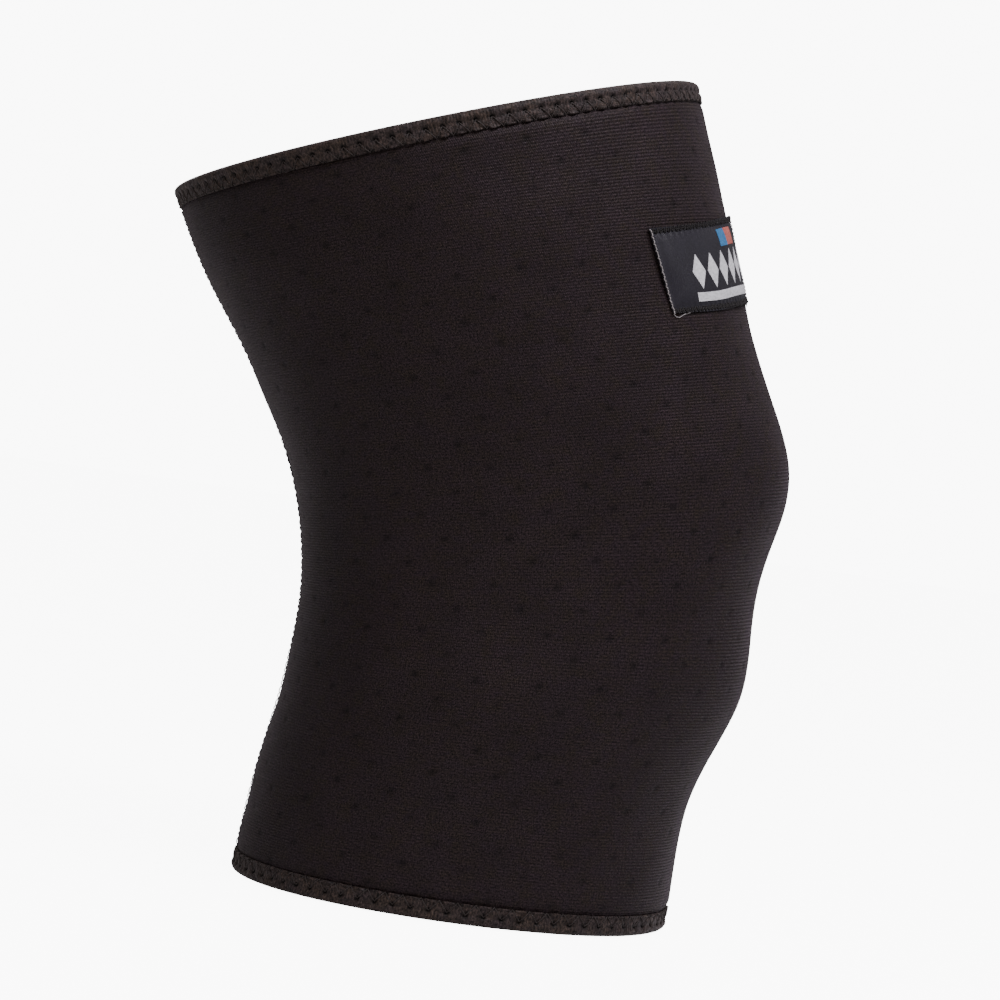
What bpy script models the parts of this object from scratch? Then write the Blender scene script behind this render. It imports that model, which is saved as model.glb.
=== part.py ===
"""Pull-on knee sleeve of perforated neoprene, shaped for a slightly bent knee.

The sleeve stands on its calf hem at z = 0, with the kneecap towards +X and the thigh leaning back
towards -X. It is the same on its +Y and -Y sides, apart from the label. Lengths are in metres,
except in the tables marked as millimetres. The wall is a laminate of three layers: the face jersey,
the neoprene core and the lining jersey. A folded tape binds each hem.

The real sheet runs in one piece from hem to hem. Here each layer is divided into a calf part, a knee
part and a thigh part, because the calf and thigh parts turn about the knee and the knee part bends.
"""

import math

import bpy
import numpy as np

MM = 0.001

# Courses of the knit from the calf hem to the thigh hem, in millimetres from the calf hem's centre:
# front x and z, back x and z, and half the sleeve's width.
COURSES = np.array((
    (65.1, 0.0, -66.1, 0.0, 62.0),
    (66.4, 36.0, -62.9, 30.0, 63.5),
    (73.1, 72.0, -58.2, 60.0, 65.0),
    (75.8, 106.0, -57.2, 90.0, 64.0),
    (75.6, 138.0, -64.5, 120.0, 65.5),
    (68.0, 169.0, -80.8, 150.0, 70.0),
    (55.3, 209.0, -98.6, 176.0, 74.5),
    (39.6, 251.6, -110.9, 198.6, 75.9),
)) * MM
LAST_COURSE = len(COURSES) - 1

# The calf hem's centre, so that the origin is below the middle of the whole sleeve
HEM_CENTRE_X = 13.8 * MM

# How much the cross-section is squared off: at the hems, and at the knee's course
HEM_SQUARENESS = 0.012
KNEE_SQUARENESS = 0.045
KNEE_COURSE = 3.6
KNEE_SPREAD = 1.5

# Swellings on the front: course, distance along the wall, height, and reach along and around
KNEECAP_COURSE = 4.02
SHIN_HEAD_COURSE = 2.02
KNEECAP = (8.0 * MM, 0.675, math.radians(27.0))
SHIN_HEAD = (5.1 * MM, 0.46, math.radians(22.0))

# Depths of the wall's layers under the outer surface, in the open wall and squeezed by the binding
GAP = 0.3 * MM
FACE = (0.0 * MM, 0.5 * MM)
CORE = (0.8 * MM, 3.2 * MM)
LINING = (3.5 * MM, 4.0 * MM)
FACE_AT_HEM = (1.0 * MM, 1.4 * MM)
CORE_AT_HEM = (1.7 * MM, 2.9 * MM)
LINING_AT_HEM = (3.2 * MM, 3.6 * MM)

# The binding: a tape folded over the hem
TAPE_THICKNESS = 0.7 * MM
BINDING_HEIGHT = 6.3 * MM
BINDING_DEPTH = 4.6 * MM
FOLD_RADIUS = 1.2 * MM
SHEET_EDGE = TAPE_THICKNESS + GAP
SQUEEZED_HEIGHT = BINDING_HEIGHT + 0.6 * MM
FULL_HEIGHT = BINDING_HEIGHT + 6.0 * MM

# Rows of the sheet near a hem: distance from the hem, and how far squeezed, from 0 to 1
HEM_ROWS = ((SHEET_EDGE, 1.0), (SQUEEZED_HEIGHT, 1.0), (FULL_HEIGHT, 0.0))

# The parts of the sheet, and the courses at the front and at the back where the knee part starts
# and ends. The knee part is tallest at the back, where the sleeve folds up as the knee bends.
PARTS = ("calf", "knee", "thigh")
CALF_TOP = (2.52, 1.62)
THIGH_BOTTOM = (4.0, 5.5)
SECTION_GAP = 0.012

# Number of faces around the sleeve, and rows of faces in each part. A flat face leaves the true
# curve by up to FACE_DIP, which the pieces lying on it stay clear of.
SIDES = 32
FACE_DIP = 0.4 * MM
KNEE_ROWS = 6
OPEN_ROWS = 4

# The seam down the back, where the sheet's two edges meet
SEAM_HALF_GAP = 0.2 * MM
SEAM_TAPE_SHARE = 0.6
SEAM_TAPE = (4.3 * MM, 4.7 * MM)
SEAM_TAPE_AT_HEM = (3.9 * MM, 4.3 * MM)
SEAM_STITCH_PITCH = 8.0 * MM
SEAM_STITCH_WIDTH = 6.0 * MM

# Zigzag stitching on the bindings
THREAD_RADIUS = 0.25 * MM
THREAD_SIDES = 3
STITCHES_ROUND_HEM = 44
STITCH_LOW = 3.0 * MM
STITCH_HIGH = 5.7 * MM

# The woven label, left of the front when facing the knee, and turned up a little towards the front
LABEL_ANGLE = math.radians(-25.0)
LABEL_COURSE = 5.757
LABEL_TURN = math.radians(4.4)
LABEL_WIDTH = 62.0 * MM
LABEL_HEIGHT = 26.0 * MM
LABEL_DEPTH = (-0.7 * MM, -0.3 * MM)
LABEL_STITCH_INSET = 1.6 * MM
LABEL_STITCH_WIDTH = 1.2 * MM
LABEL_STITCH_PITCH = 6.5 * MM

# Samples along the wall that turn a distance from a hem into a course
WALL_SAMPLES = 281

# Colour, roughness and metallic value of each material
MATERIALS = {
    "face_jersey": ((0.0137, 0.0100, 0.0105), 0.85, 0.0),
    "neoprene": ((0.012, 0.012, 0.013), 0.80, 0.0),
    "lining_jersey": ((0.016, 0.014, 0.015), 0.88, 0.0),
    "binding_tape": ((0.026, 0.021, 0.021), 0.70, 0.0),
    "sewing_thread": ((0.020, 0.018, 0.018), 0.60, 0.0),
    "seam_tape": ((0.014, 0.013, 0.014), 0.75, 0.0),
    "label_satin": ((0.018, 0.019, 0.027), 0.45, 0.0),
}


def remove_everything():
    for thing in list(bpy.data.objects):
        bpy.data.objects.remove(thing, do_unlink=True)


def make_material(name):
    colour, roughness, metallic = MATERIALS[name]
    material = bpy.data.materials.new(name)
    material.use_nodes = True
    shader = material.node_tree.nodes["Principled BSDF"]
    shader.inputs["Base Color"].default_value = (*colour, 1.0)
    shader.inputs["Roughness"].default_value = roughness
    shader.inputs["Metallic"].default_value = metallic
    material.diffuse_color = (*colour, 1.0)
    return material


def course_at(course):
    """Front, back and half width at a course, on a smooth curve through COURSES."""
    course = np.asarray(course, float)
    padded = np.vstack((2 * COURSES[0] - COURSES[1], COURSES, 2 * COURSES[-1] - COURSES[-2]))
    first = np.clip(np.floor(course).astype(int), 0, LAST_COURSE - 1)
    t = (course - first)[..., None]
    p0, p1, p2, p3 = (padded[first + k] for k in range(4))
    cubic = 3 * p1 - p0 - 3 * p2 + p3
    square = 2 * p0 - 5 * p1 + 4 * p2 - p3
    return 0.5 * (2 * p1 + (p2 - p0) * t + square * t**2 + cubic * t**3)


def swelling(angle, course, centre, shape):
    height, reach, spread = shape
    along = (course - centre) / reach
    turned = (angle + math.pi) % (2 * math.pi) - math.pi
    around = turned / spread
    return height * np.exp(-(along**2 + around**2) / 2)


def squareness(course):
    at_knee = np.exp(-(((course - KNEE_COURSE) / KNEE_SPREAD) ** 2))
    return HEM_SQUARENESS + (KNEE_SQUARENESS - HEM_SQUARENESS) * at_knee


def outer_surface(angle, course):
    """The sleeve's outer surface. Angle 0 is the front, and a quarter turn is +Y."""
    station = course_at(course)
    front, back, half_width = station[..., 0:2], station[..., 2:4], station[..., 4]
    middle = (front + back) / 2
    half_depth = (front - back) / 2
    depth = np.linalg.norm(half_depth, axis=-1)
    grow = 1 + squareness(course) * np.sin(2 * angle) ** 2
    bump = swelling(angle, course, KNEECAP_COURSE, KNEECAP)
    bump = bump + swelling(angle, course, SHIN_HEAD_COURSE, SHIN_HEAD)
    across = np.cos(angle) * (grow + bump / depth)
    xz = middle + half_depth * across[..., None]
    y = np.sin(angle) * (half_width * grow + bump)
    return np.stack((xz[..., 0] + HEM_CENTRE_X, y, xz[..., 1]), axis=-1)


def outward(angle, course):
    """Unit vectors out of the surface that stay in the plane of the course."""
    step = 0.001
    run = outer_surface(angle + step, course) - outer_surface(angle - step, course)
    station = course_at(course)
    chord = station[..., 0:2] - station[..., 2:4]
    chord = chord / np.linalg.norm(chord, axis=-1, keepdims=True)
    ahead = run[..., 0] * chord[..., 0] + run[..., 2] * chord[..., 1]
    length = np.hypot(ahead, run[..., 1])
    out_ahead, out_side = run[..., 1] / length, -ahead / length
    return np.stack((chord[..., 0] * out_ahead, out_side, chord[..., 1] * out_ahead), axis=-1)


def wall_point(angle, course, depth):
    """A point below the outer surface by depth, or above it where depth is negative."""
    angle, course, depth = np.broadcast_arrays(angle, course, depth)
    return outer_surface(angle, course) - outward(angle, course) * depth[..., None]


def course_from_hem(angle, distance, hem):
    """The course that lies at a distance along the wall from the calf hem or the thigh hem."""
    courses = np.linspace(0.0, LAST_COURSE, WALL_SAMPLES)
    line = outer_surface(np.full(WALL_SAMPLES, angle), courses)
    run = np.concatenate(([0.0], np.cumsum(np.linalg.norm(np.diff(line, axis=0), axis=1))))
    if hem == "thigh":
        return float(np.interp(run[-1] - distance, run, courses))
    return float(np.interp(distance, run, courses))


def courses_from_hem(angles, distances, hem):
    distances = np.broadcast_to(distances, np.shape(angles))
    return np.array([course_from_hem(a, d, hem) for a, d in zip(angles, distances, strict=True)])


def section_line(ends, angles):
    """The course of a cut that is ends[0] at the front and ends[1] at the back."""
    back_share = (1 - np.cos(angles)) / 2
    return ends[0] + (ends[1] - ends[0]) * back_share


def seam_angle(distance):
    """How far round from the middle of the back a distance along the wall takes, near the seam."""
    return distance / np.mean(COURSES[:, 4])


def make_object(name, verts, faces, material):
    mesh = bpy.data.meshes.new(name)
    mesh.from_pydata([tuple(map(float, v)) for v in verts], [], faces)
    mesh.validate()
    mesh.materials.append(material)
    mesh.shade_smooth()
    mesh.set_sharp_from_angle(angle=math.radians(40.0))
    thing = bpy.data.objects.new(name, mesh)
    bpy.context.scene.collection.objects.link(thing)
    return thing


def slab(outer, inner):
    """Close the space between two equal grids of points into one solid with faces pointing out.

    Both grids are cut along the same diagonals, so layers that lie on each other stay parallel.
    """
    rows, columns = outer.shape[:2]
    count = rows * columns
    verts = np.concatenate((outer.reshape(-1, 3), inner.reshape(-1, 3)))
    faces = []
    for r in range(rows - 1):
        for c in range(columns - 1):
            a = r * columns + c
            for corners in ((a, a + 1, a + columns + 1), (a, a + columns + 1, a + columns)):
                faces.append(corners)
                faces.append(tuple(count + i for i in reversed(corners)))
    rim = list(range(columns))
    rim += [r * columns + columns - 1 for r in range(1, rows)]
    rim += [(rows - 1) * columns + c for c in range(columns - 2, -1, -1)]
    rim += [r * columns for r in range(rows - 2, 0, -1)]
    for a, b in zip(rim, rim[1:] + rim[:1], strict=True):
        faces.append((b, a, count + a, count + b))
    return verts, faces


def sheet_angles():
    """Angles from one edge of the sheet round the front to the other, with the seam open."""
    edge = math.pi - seam_angle(SEAM_HALF_GAP)
    return np.linspace(-edge, edge, SIDES + 1)


def hem_part_rows(hem, angles):
    """Courses and squeeze of the rows from a hem, squeezed under its binding, to the knee part."""
    rows = [(courses_from_hem(angles, d, hem), squeeze) for d, squeeze in HEM_ROWS]
    start = rows[-1][0]
    end = section_line(CALF_TOP if hem == "calf" else THIGH_BOTTOM, angles)
    for k in range(1, OPEN_ROWS + 1):
        rows.append((start + (end - start) * k / OPEN_ROWS, 0.0))
    return rows


def knee_part_rows(angles):
    low = section_line(CALF_TOP, angles) + SECTION_GAP
    high = section_line(THIGH_BOTTOM, angles) - SECTION_GAP
    return [(low + (high - low) * k / KNEE_ROWS, 0.0) for k in range(KNEE_ROWS + 1)]


def part_rows(part, angles):
    """Rows from the calf's side to the thigh's side, each as courses and a squeeze of 0 to 1."""
    if part == "knee":
        return knee_part_rows(angles)
    rows = hem_part_rows(part, angles)
    return rows if part == "calf" else rows[::-1]


def layer_grid(angles, rows, open_depth, hem_depth):
    grid = []
    for courses, squeeze in rows:
        depth = open_depth + (hem_depth - open_depth) * squeeze
        grid.append(wall_point(angles, courses, depth))
    return np.array(grid)


def add_layer(part, layer, depths, hem_depths, material):
    angles = sheet_angles()
    rows = part_rows(part, angles)
    outer = layer_grid(angles, rows, depths[0], hem_depths[0])
    inner = layer_grid(angles, rows, depths[1], hem_depths[1])
    verts, faces = slab(outer, inner)
    make_object(f"{part}_{layer}", verts, faces, material)


def binding_profile():
    """The folded tape's section as (depth, distance from the hem), round the outside and back."""
    outer, inner = 0.0, BINDING_DEPTH
    fold = [(outer, FOLD_RADIUS), (FOLD_RADIUS * 0.3, FOLD_RADIUS * 0.3), (FOLD_RADIUS, 0.0)]
    far_fold = [(inner - d, h) for d, h in reversed(fold)]
    channel_out, channel_in = outer + TAPE_THICKNESS, inner - TAPE_THICKNESS
    channel = [(channel_in, BINDING_HEIGHT), (channel_in, TAPE_THICKNESS)]
    channel += [(channel_out, TAPE_THICKNESS), (channel_out, BINDING_HEIGHT)]
    return [(outer, BINDING_HEIGHT), *fold, *far_fold, (inner, BINDING_HEIGHT), *channel]


def add_binding(hem, material):
    angles = np.linspace(0.0, 2 * math.pi, SIDES, endpoint=False)
    rings = []
    for depth, distance in binding_profile():
        courses = courses_from_hem(angles, distance, hem)
        rings.append(wall_point(angles, courses, depth))
    verts = np.concatenate(rings)
    faces = []
    for r in range(len(rings)):
        after = (r + 1) % len(rings)
        for c in range(SIDES):
            turn = (c + 1) % SIDES
            quad = (r * SIDES + c, after * SIDES + c, after * SIDES + turn, r * SIDES + turn)
            faces.append(quad if hem == "calf" else quad[::-1])
    make_object(f"{hem}_binding", verts, faces, material)


def thread_rings(points, ups, closed):
    """Rings of points around a thread's path, each square to the path."""
    ahead = np.roll(points, -1, axis=0) - np.roll(points, 1, axis=0)
    if not closed:
        ahead[0] = points[1] - points[0]
        ahead[-1] = points[-1] - points[-2]
    ahead /= np.linalg.norm(ahead, axis=1, keepdims=True)
    side = np.cross(ahead, ups)
    side /= np.linalg.norm(side, axis=1, keepdims=True)
    up = np.cross(side, ahead)
    turns = np.arange(THREAD_SIDES) * 2 * math.pi / THREAD_SIDES
    return [
        points + THREAD_RADIUS * (math.cos(t) * side + math.sin(t) * up) for t in turns
    ]


def add_thread(name, points, ups, closed, material):
    count = len(points)
    verts = np.concatenate(thread_rings(points, ups, closed))
    faces = []
    for s in range(THREAD_SIDES):
        after = (s + 1) % THREAD_SIDES
        for k in range(count if closed else count - 1):
            further = (k + 1) % count
            faces.append((s * count + k, s * count + further, after * count + further, after * count + k))
    if not closed:
        faces.append(tuple(s * count for s in range(THREAD_SIDES)))
        faces.append(tuple(s * count + count - 1 for s in reversed(range(THREAD_SIDES))))
    make_object(name, verts, faces, material)


def add_hem_thread(hem, side, depth, material):
    """The zigzag round a binding, on its outside or its inside."""
    angles = np.arange(2 * STITCHES_ROUND_HEM) * math.pi / STITCHES_ROUND_HEM
    distances = np.where(np.arange(len(angles)) % 2 == 0, STITCH_LOW, STITCH_HIGH)
    courses = courses_from_hem(angles, distances, hem)
    points = wall_point(angles, courses, depth)
    add_thread(f"{hem}_binding_{side}_thread", points, outward(angles, courses), True, material)


def seam_tape_grid(part, depth, hem_depth):
    """The tape's points: it follows the flat faces on each side of the seam, and covers part of each."""
    angles = sheet_angles()
    angles = np.concatenate((angles[-2:], angles[:2] + 2 * math.pi))
    rows = part_rows(part, angles)
    if part == "calf":
        rows = rows[1:]
    if part == "thigh":
        rows = rows[:-1]
    grid = layer_grid(angles, rows, depth, hem_depth)
    grid[:, 0] = grid[:, 1] + (grid[:, 0] - grid[:, 1]) * SEAM_TAPE_SHARE
    grid[:, 3] = grid[:, 2] + (grid[:, 3] - grid[:, 2]) * SEAM_TAPE_SHARE
    return grid


def add_seam_tape(part, material):
    outer = seam_tape_grid(part, SEAM_TAPE[0], SEAM_TAPE_AT_HEM[0])
    inner = seam_tape_grid(part, SEAM_TAPE[1], SEAM_TAPE_AT_HEM[1])
    verts, faces = slab(outer, inner)
    make_object(f"{part}_back_seam_tape", verts, faces, material)


def seam_courses(part):
    """Courses at the middle of the back between which the seam's thread runs."""
    clear = BINDING_HEIGHT + 2 * GAP
    ends = {
        "calf": (course_from_hem(math.pi, clear, "calf"), CALF_TOP[1]),
        "knee": (CALF_TOP[1] + SECTION_GAP, THIGH_BOTTOM[1] - SECTION_GAP),
        "thigh": (THIGH_BOTTOM[1], course_from_hem(math.pi, clear, "thigh")),
    }
    return ends[part]


def add_seam_thread(part, material):
    low, high = seam_courses(part)
    clear = THREAD_RADIUS * 3
    line = outer_surface(np.full(2, math.pi), np.array((low, high)))
    length = np.linalg.norm(line[1] - line[0])
    margin = clear / length * (high - low)
    stitches = max(2, round(length / SEAM_STITCH_PITCH))
    courses = np.linspace(low + margin, high - margin, 2 * stitches + 1)
    swing = seam_angle(SEAM_STITCH_WIDTH / 2)
    sides = np.where(np.arange(len(courses)) % 2 == 0, -1.0, 1.0)
    angles = math.pi + sides * swing
    points = wall_point(angles, courses, -(FACE_DIP + GAP + THREAD_RADIUS))
    add_thread(f"{part}_back_seam_thread", points, outward(angles, courses), False, material)


def label_point(across, up, depth):
    """A point on the label's area from its centre, across the front and up the thigh."""
    spot = outer_surface(np.array([LABEL_ANGLE]), np.array([LABEL_COURSE]))[0]
    nearby = outer_surface(np.array([LABEL_ANGLE]), np.array([LABEL_COURSE + 0.01]))[0]
    aside = outer_surface(np.array([LABEL_ANGLE + 0.01]), np.array([LABEL_COURSE]))[0]
    per_course = np.linalg.norm(nearby - spot) / 0.01
    per_turn = np.linalg.norm(aside - spot) / 0.01
    ahead = across * math.cos(LABEL_TURN) - up * math.sin(LABEL_TURN)
    rise = across * math.sin(LABEL_TURN) + up * math.cos(LABEL_TURN)
    return wall_point(LABEL_ANGLE + ahead / per_turn, LABEL_COURSE + rise / per_course, depth)


def add_label(material):
    across = np.linspace(-LABEL_WIDTH / 2, LABEL_WIDTH / 2, 9)
    up = np.linspace(-LABEL_HEIGHT / 2, LABEL_HEIGHT / 2, 3)
    outer, inner = (
        np.array([label_point(across, np.full(len(across), u), depth) for u in up])
        for depth in LABEL_DEPTH
    )
    verts, faces = slab(outer, inner)
    make_object("front_label", verts, faces, material)


def label_stitch_path():
    """A zigzag round the label just inside its edge, as points across and up."""
    half_width = LABEL_WIDTH / 2 - LABEL_STITCH_INSET
    half_height = LABEL_HEIGHT / 2 - LABEL_STITCH_INSET
    corners = [(-half_width, -half_height), (half_width, -half_height)]
    corners += [(half_width, half_height), (-half_width, half_height)]
    path = []
    for (x0, y0), (x1, y1) in zip(corners, corners[1:] + corners[:1], strict=True):
        length = math.hypot(x1 - x0, y1 - y0)
        steps = 2 * round(length / LABEL_STITCH_PITCH)
        inward = (-(y1 - y0) / length, (x1 - x0) / length)
        for k in range(steps):
            swing = LABEL_STITCH_WIDTH * (k % 2)
            share = k / steps
            x = x0 + (x1 - x0) * share + inward[0] * swing
            y = y0 + (y1 - y0) * share + inward[1] * swing
            path.append((x, y))
    return np.array(path)


def add_label_thread(side, depth, material):
    path = label_stitch_path()
    points = label_point(path[:, 0], path[:, 1], depth)
    further = label_point(path[:, 0], path[:, 1], depth - MM)
    add_thread(f"label_{side}_thread", points, further - points, True, material)


def main():
    remove_everything()
    made = {name: make_material(name) for name in MATERIALS}
    for part in PARTS:
        add_layer(part, "face_jersey", FACE, FACE_AT_HEM, made["face_jersey"])
        add_layer(part, "neoprene_core", CORE, CORE_AT_HEM, made["neoprene"])
        add_layer(part, "lining_jersey", LINING, LINING_AT_HEM, made["lining_jersey"])
        add_seam_thread(part, made["sewing_thread"])
        add_seam_tape(part, made["seam_tape"])
    above = -(GAP + THREAD_RADIUS)
    below = BINDING_DEPTH + FACE_DIP + GAP + THREAD_RADIUS
    for hem in ("calf", "thigh"):
        add_binding(hem, made["binding_tape"])
        add_hem_thread(hem, "needle", above, made["sewing_thread"])
        add_hem_thread(hem, "bobbin", below, made["sewing_thread"])
    add_label(made["label_satin"])
    add_label_thread("needle", LABEL_DEPTH[0] + above, made["sewing_thread"])
    add_label_thread("bobbin", LINING[1] + FACE_DIP + GAP + THREAD_RADIUS, made["sewing_thread"])


main()
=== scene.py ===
"""A pull-on knee sleeve of perforated neoprene, as it looks in a studio.

Every piece is built from the sleeve's own surface: an angle round it (0 at the front, a quarter turn
at +Y) and a course, from 0 at the calf hem to 7 at the thigh hem. The sheet's flat coordinates, in
metres round from the front and up from the calf hem, place the knit, the perforations and the seam.
"""

import math

import bpy
import numpy as np
from mathutils import Matrix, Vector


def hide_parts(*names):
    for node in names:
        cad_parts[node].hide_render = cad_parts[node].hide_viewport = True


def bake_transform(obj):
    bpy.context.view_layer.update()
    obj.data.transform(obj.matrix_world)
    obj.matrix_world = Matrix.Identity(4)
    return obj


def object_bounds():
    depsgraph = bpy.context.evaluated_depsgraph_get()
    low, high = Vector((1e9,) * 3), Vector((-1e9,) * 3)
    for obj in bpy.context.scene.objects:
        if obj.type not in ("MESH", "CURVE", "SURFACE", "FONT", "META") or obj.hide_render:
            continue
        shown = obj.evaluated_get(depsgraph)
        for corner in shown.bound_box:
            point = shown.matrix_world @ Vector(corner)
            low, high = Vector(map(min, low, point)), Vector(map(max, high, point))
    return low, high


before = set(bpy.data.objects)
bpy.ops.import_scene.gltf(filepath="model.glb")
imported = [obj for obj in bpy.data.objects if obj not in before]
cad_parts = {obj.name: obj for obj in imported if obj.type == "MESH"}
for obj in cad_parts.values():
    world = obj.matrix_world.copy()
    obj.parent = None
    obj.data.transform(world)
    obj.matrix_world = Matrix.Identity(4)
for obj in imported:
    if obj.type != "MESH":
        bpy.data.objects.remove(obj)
cad_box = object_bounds()

MM = 0.001

# ---- the sleeve's surface, as in the CAD

COURSES = np.array((
    (65.1, 0.0, -66.1, 0.0, 62.0),
    (66.4, 36.0, -62.9, 30.0, 63.5),
    (73.1, 72.0, -58.2, 60.0, 65.0),
    (75.8, 106.0, -57.2, 90.0, 64.0),
    (75.6, 138.0, -64.5, 120.0, 65.5),
    (68.0, 169.0, -80.8, 150.0, 70.0),
    (55.3, 209.0, -98.6, 176.0, 74.5),
    (39.6, 251.6, -110.9, 198.6, 75.9),
)) * MM
LAST_COURSE = len(COURSES) - 1
HEM_CENTRE_X = 13.8 * MM
HEM_SQUARENESS = 0.012
KNEE_SQUARENESS = 0.045
KNEE_COURSE = 3.6
KNEE_SPREAD = 1.5
KNEECAP_COURSE = 4.02
SHIN_HEAD_COURSE = 2.02
KNEECAP = (8.0 * MM, 0.675, math.radians(27.0))
SHIN_HEAD = (5.1 * MM, 0.46, math.radians(22.0))

# Each layer's outer and inner side, as its depth in the open and squeezed under a binding
FACE = ((0.0 * MM, 1.0 * MM), (0.74 * MM, 1.55 * MM))
CORE = ((0.78 * MM, 1.58 * MM), (3.22 * MM, 2.97 * MM))
LINING = ((3.26 * MM, 3.0 * MM), (4.0 * MM, 3.6 * MM))
WALL = 4.0 * MM

TAPE_THICKNESS = 0.7 * MM
BINDING_HEIGHT = 6.3 * MM
BINDING_DEPTH = 4.6 * MM
SHEET_EDGE = 1.0 * MM


def course_at(course):
    """Front, back and half width at a course, on a smooth curve through COURSES."""
    course = np.asarray(course, float)
    padded = np.vstack((2 * COURSES[0] - COURSES[1], COURSES, 2 * COURSES[-1] - COURSES[-2]))
    first = np.clip(np.floor(course).astype(int), 0, LAST_COURSE - 1)
    t = (course - first)[..., None]
    p0, p1, p2, p3 = (padded[first + k] for k in range(4))
    cubic = 3 * p1 - p0 - 3 * p2 + p3
    square = 2 * p0 - 5 * p1 + 4 * p2 - p3
    return 0.5 * (2 * p1 + (p2 - p0) * t + square * t**2 + cubic * t**3)


def unit(vectors):
    return vectors / np.linalg.norm(vectors, axis=-1, keepdims=True)


def wrapped(angle):
    return (angle + math.pi) % (2 * math.pi) - math.pi


def swelling(angle, course, centre, shape):
    height, reach, spread = shape
    return height * np.exp(-(((course - centre) / reach) ** 2 + (wrapped(angle) / spread) ** 2) / 2)


def outer_surface(angle, course):
    """The sleeve's outer surface, in metres."""
    station = course_at(course)
    front, back, half_width = station[..., 0:2], station[..., 2:4], station[..., 4]
    middle = (front + back) / 2
    half_depth = (front - back) / 2
    depth = np.linalg.norm(half_depth, axis=-1)
    at_knee = np.exp(-(((course - KNEE_COURSE) / KNEE_SPREAD) ** 2))
    squareness = HEM_SQUARENESS + (KNEE_SQUARENESS - HEM_SQUARENESS) * at_knee
    grow = 1 + squareness * np.sin(2 * angle) ** 2
    bump = swelling(angle, course, KNEECAP_COURSE, KNEECAP)
    bump = bump + swelling(angle, course, SHIN_HEAD_COURSE, SHIN_HEAD)
    across = np.cos(angle) * (grow + bump / depth)
    xz = middle + half_depth * across[..., None]
    y = np.sin(angle) * (half_width * grow + bump)
    return np.stack((xz[..., 0] + HEM_CENTRE_X, y, xz[..., 1]), axis=-1)


def outward(angle, course):
    """Unit vectors out of the surface that stay in the plane of the course."""
    step = 0.001
    run = outer_surface(angle + step, course) - outer_surface(angle - step, course)
    station = course_at(course)
    chord = unit(station[..., 0:2] - station[..., 2:4])
    ahead = run[..., 0] * chord[..., 0] + run[..., 2] * chord[..., 1]
    length = np.hypot(ahead, run[..., 1])
    out_ahead, out_side = run[..., 1] / length, -ahead / length
    return np.stack((chord[..., 0] * out_ahead, out_side, chord[..., 1] * out_ahead), axis=-1)


def wall_point(angle, course, depth):
    angle, course, depth = np.broadcast_arrays(angle, course, depth)
    return outer_surface(angle, course) - outward(angle, course) * depth[..., None]


# Tables that turn angles and courses into distances on the surface, and back
TABLE_ANGLES = np.linspace(-math.pi, math.pi, 721)
TABLE_COURSES = np.linspace(0.0, LAST_COURSE, 281)
TABLE = outer_surface(TABLE_ANGLES[:, None], TABLE_COURSES[None, :])
UP_RUN, ROUND_RUN = (
    np.insert(np.cumsum(np.linalg.norm(np.diff(TABLE, axis=way), axis=2), axis=way), 0, 0.0, axis=way)
    for way in (1, 0)
)
ROUND_RUN -= ROUND_RUN[len(TABLE_ANGLES) // 2]
SIDE_RUN = UP_RUN[len(TABLE_ANGLES) // 4]


def from_table(table, angle, course):
    """Read a table of angle and course between its entries."""
    angle, course = np.broadcast_arrays(angle, course)
    a = (np.clip(angle, -math.pi, math.pi) + math.pi) / (2 * math.pi) * (len(TABLE_ANGLES) - 1)
    c = np.clip(course, 0.0, LAST_COURSE) / LAST_COURSE * (len(TABLE_COURSES) - 1)
    a0 = np.minimum(a.astype(int), len(TABLE_ANGLES) - 2)
    c0 = np.minimum(c.astype(int), len(TABLE_COURSES) - 2)
    fa, fc = a - a0, c - c0
    low = table[a0, c0] * (1 - fc) + table[a0, c0 + 1] * fc
    high = table[a0 + 1, c0] * (1 - fc) + table[a0 + 1, c0 + 1] * fc
    return low * (1 - fa) + high * fa


def around(angle, course):
    """Distance round the sleeve from the front."""
    return from_table(ROUND_RUN, angle, course)


def above_calf_hem(angle, course):
    return from_table(UP_RUN, angle, course)


def below_thigh_hem(angle, course):
    whole = from_table(UP_RUN, angle, np.full(np.shape(course), float(LAST_COURSE)))
    return whole - above_calf_hem(angle, course)


# How steeply the sheet's rows climb from back to front, at what height, and over what reach
ROW_CLIMBS = ((0.10, 160 * MM, 45 * MM), (-0.045, 60 * MM, 30 * MM))


def height_up_sheet(angle, course):
    """Distance up the flat sheet from its calf hem, which its rows follow round the sleeve."""
    v = np.interp(course, TABLE_COURSES, SIDE_RUN)
    tilt = sum(climb * np.exp(-(((v - height) / reach) ** 2)) for climb, height, reach in ROW_CLIMBS)
    half_girth = around(np.full(np.shape(course), math.pi), course)
    return v - tilt * half_girth / math.pi * np.cos(math.pi * around(angle, course) / half_girth)


# A first guess at a course's length, the step that measures it, and the number of corrections
COURSE_LENGTH = 33.0 * MM
COURSE_STEP = 0.02
CORRECTIONS = 6


def hem_course(hem):
    return 0.0 if hem == "calf" else float(LAST_COURSE)


def course_from_hem(angle, distance, hem):
    """The course at a distance along the wall from a hem, for arrays of angles and distances."""
    angle, distance = np.broadcast_arrays(np.asarray(angle, float), np.asarray(distance, float))
    sign, measure = (1.0, above_calf_hem) if hem == "calf" else (-1.0, below_thigh_hem)
    course = hem_course(hem) + sign * distance / COURSE_LENGTH
    for _ in range(CORRECTIONS):
        here = measure(angle, course)
        rate = (measure(angle, course + sign * COURSE_STEP) - here) / COURSE_STEP
        course = course + sign * (distance - here) / rate
    return course


def eased(t):
    t = np.clip(t, 0.0, 1.0)
    return t * t * (3 - 2 * t)


# Random waves: how many, their sizes as shares of the given size, their phases, and their calming
WAVES = 16
WAVE_SIZES = (0.6, 1.8)
WAVE_PHASES = (0, 6.28)
WAVE_CALM = 1.6


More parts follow.
